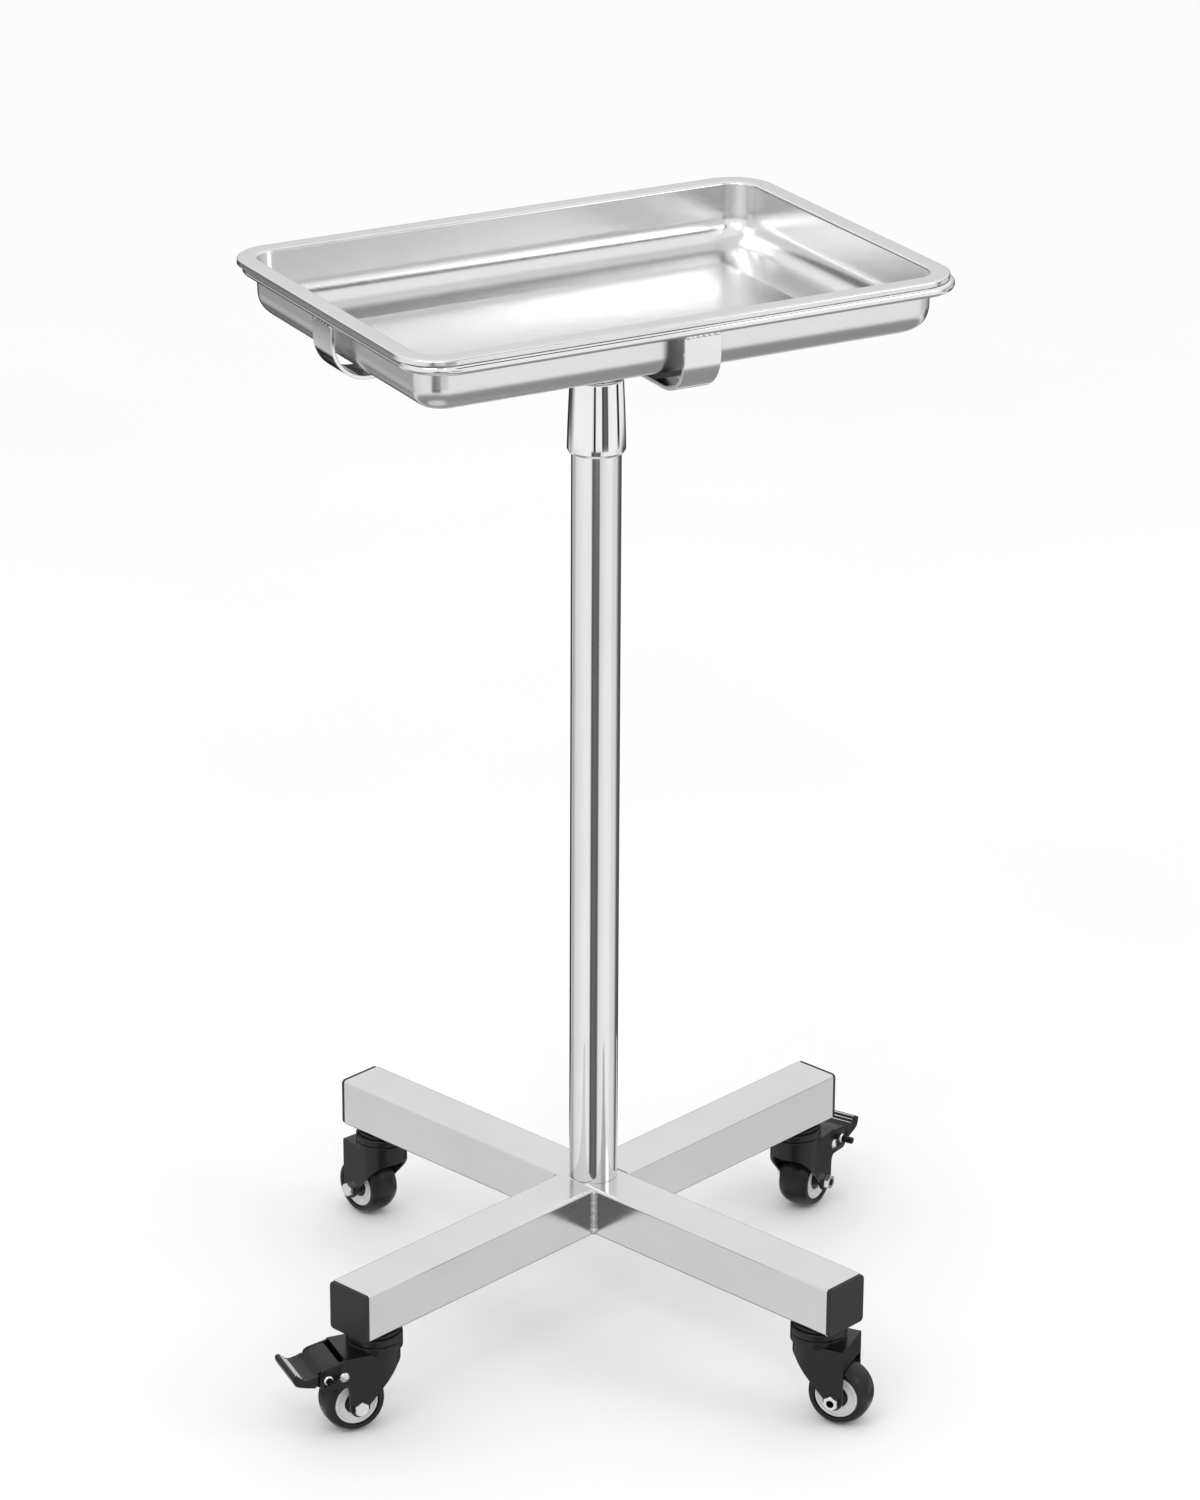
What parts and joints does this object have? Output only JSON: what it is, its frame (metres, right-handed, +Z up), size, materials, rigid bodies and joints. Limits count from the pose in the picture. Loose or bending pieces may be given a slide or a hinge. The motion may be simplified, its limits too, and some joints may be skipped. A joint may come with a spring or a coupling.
{
  "type": "instrument cart",
  "caption": "Height-adjustable stainless instrument cart: lift-off tray in a ring frame, telescopic column with a lock collar, and a cross base on swivel casters, some with foot brakes.",
  "frame": {"origin": "on the floor, on the axis of the column", "axes": "+Z up along the column, +X along the long side of the tray, +Y towards the tray's back long side"},
  "size_m": [0.6126, 0.5401, 0.8729],
  "materials": {
    "brushed_steel": "satin brushed stainless steel",
    "polished_steel": "polished stainless steel",
    "chrome": "mirror",
    "zinc": "bright zinc plated",
    "black_enamel": "gloss black",
    "black_plastic": "fine matt grain",
    "tyre_black": "satin",
    "hub_grey": "light grey, semi-gloss",
    "guide_white": "natural white"
  },
  "bodies": {
    "base": {"base_long_tube": "brushed_steel", "base_left_tube": "brushed_steel", "base_right_tube": "brushed_steel", "base_left_weld": "brushed_steel", "base_right_weld": "brushed_steel", "end_plug_left": "black_plastic", "end_plug_front": "black_plastic", "end_plug_right": "black_plastic", "end_plug_back": "black_plastic", "column_tube": "polished_steel", "column_foot_plate": "zinc", "column_bolt": "zinc", "column_bolt_washer": "zinc", "column_guide_bush": "guide_white", "column_collet": "guide_white", "caster_left_stem": "black_enamel", "caster_front_stem": "black_enamel", "caster_right_stem": "black_enamel", "caster_back_stem": "black_enamel"},
    "lock_collar": {"lock_collar": "chrome"},
    "lift": {"lift_tube": "polished_steel", "lift_tube_glide": "guide_white"},
    "tray_frame": {"frame_socket": "polished_steel", "frame_socket_screw": "zinc", "frame_centre_bolt": "zinc", "frame_centre_nut": "zinc", "strap_long": "polished_steel", "strap_short": "polished_steel", "tray_support_ring": "polished_steel"},
    "tray": {"tray": "brushed_steel"},
    "caster_left_swivel": {"caster_left_yoke": "black_enamel", "caster_left_axle_bolt": "zinc", "caster_left_axle_nut": "zinc", "caster_left_pedal_pin": "zinc", "caster_left_shoe_pin": "zinc"},
    "caster_left_wheel": {"caster_left_tyre": "tyre_black", "caster_left_hub": "hub_grey"},
    "caster_left_pedal": {"caster_left_pedal": "black_plastic"},
    "caster_left_shoe": {"caster_left_brake_shoe": "zinc"},
    "caster_front_swivel": {"caster_front_yoke": "black_enamel", "caster_front_axle_bolt": "zinc", "caster_front_axle_nut": "zinc"},
    "caster_front_wheel": {"caster_front_tyre": "tyre_black", "caster_front_hub": "hub_grey"},
    "caster_right_swivel": {"caster_right_yoke": "black_enamel", "caster_right_axle_bolt": "zinc", "caster_right_axle_nut": "zinc", "caster_right_pedal_pin": "zinc", "caster_right_shoe_pin": "zinc"},
    "caster_right_wheel": {"caster_right_tyre": "tyre_black", "caster_right_hub": "hub_grey"},
    "caster_right_pedal": {"caster_right_pedal": "black_plastic"},
    "caster_right_shoe": {"caster_right_brake_shoe": "zinc"},
    "caster_back_swivel": {"caster_back_yoke": "black_enamel", "caster_back_axle_bolt": "zinc", "caster_back_axle_nut": "zinc"},
    "caster_back_wheel": {"caster_back_tyre": "tyre_black", "caster_back_hub": "hub_grey"}
  },
  "joints": [
    {"name": "lift_slide", "type": "slide", "parent": "base", "child": "lift", "axis": [0, 0, 1], "range_m": [0, 0.42]},
    {"name": "collar_turn", "type": "hinge", "parent": "base", "child": "lock_collar", "pos_m": [0, 0, 0.755], "axis": [0, 0, 1], "range_deg": [0, 90]},
    {"name": "frame_swivel", "type": "hinge", "parent": "lift", "child": "tray_frame", "pos_m": [0, 0, 0.8], "axis": [0, 0, 1], "continuous": true},
    {"name": "tray_lift_off", "type": "slide", "parent": "tray_frame", "child": "tray", "axis": [0, 0, 1], "range_m": [0, 0.15]},
    {"name": "caster_left_swivel_turn", "type": "hinge", "parent": "base", "child": "caster_left_swivel", "pos_m": [-0.2315, -0.07388, 0.0735], "axis": [0, 0, 1], "continuous": true},
    {"name": "caster_left_wheel_roll", "type": "hinge", "parent": "caster_left_swivel", "child": "caster_left_wheel", "pos_m": [-0.25091, -0.07208, 0.025], "axis": [-0.0924, -0.9957, 0], "continuous": true},
    {"name": "caster_left_pedal_press", "type": "hinge", "parent": "caster_left_swivel", "child": "caster_left_pedal", "pos_m": [-0.2763, -0.06972, 0.054], "axis": [-0.0924, -0.9957, 0], "range_deg": [0, 18]},
    {"name": "caster_left_shoe_press", "type": "hinge", "parent": "caster_left_swivel", "child": "caster_left_shoe", "pos_m": [-0.26336, -0.07092, 0.054], "axis": [-0.0924, -0.9957, 0], "range_deg": [0, 14]},
    {"name": "caster_front_swivel_turn", "type": "hinge", "parent": "base", "child": "caster_front_swivel", "pos_m": [0.07257, -0.2274, 0.0735], "axis": [0, 0, 1], "continuous": true},
    {"name": "caster_front_wheel_roll", "type": "hinge", "parent": "caster_front_swivel", "child": "caster_front_wheel", "pos_m": [0.0845, -0.24283, 0.025], "axis": [0.7912, 0.6115, 0], "continuous": true},
    {"name": "caster_right_swivel_turn", "type": "hinge", "parent": "base", "child": "caster_right_swivel", "pos_m": [0.2315, 0.07388, 0.0735], "axis": [0, 0, 1], "continuous": true},
    {"name": "caster_right_wheel_roll", "type": "hinge", "parent": "caster_right_swivel", "child": "caster_right_wheel", "pos_m": [0.24844, 0.08354, 0.025], "axis": [-0.4955, 0.8686, 0], "continuous": true},
    {"name": "caster_right_pedal_press", "type": "hinge", "parent": "caster_right_swivel", "child": "caster_right_pedal", "pos_m": [0.27059, 0.09618, 0.054], "axis": [-0.4955, 0.8686, 0], "range_deg": [0, 18]},
    {"name": "caster_right_shoe_press", "type": "hinge", "parent": "caster_right_swivel", "child": "caster_right_shoe", "pos_m": [0.25929, 0.08973, 0.054], "axis": [-0.4955, 0.8686, 0], "range_deg": [0, 14]},
    {"name": "caster_back_swivel_turn", "type": "hinge", "parent": "base", "child": "caster_back_swivel", "pos_m": [-0.07257, 0.2274, 0.0735], "axis": [0, 0, 1], "continuous": true},
    {"name": "caster_back_wheel_roll", "type": "hinge", "parent": "caster_back_swivel", "child": "caster_back_wheel", "pos_m": [-0.07686, 0.24642, 0.025], "axis": [-0.9755, -0.2198, 0], "continuous": true}
  ],
  "couplings": [
    {"joint": "caster_left_shoe_press", "follows": "caster_left_pedal_press", "ratio": 0.75},
    {"joint": "caster_right_shoe_press", "follows": "caster_right_pedal_press", "ratio": 0.75}
  ]
}
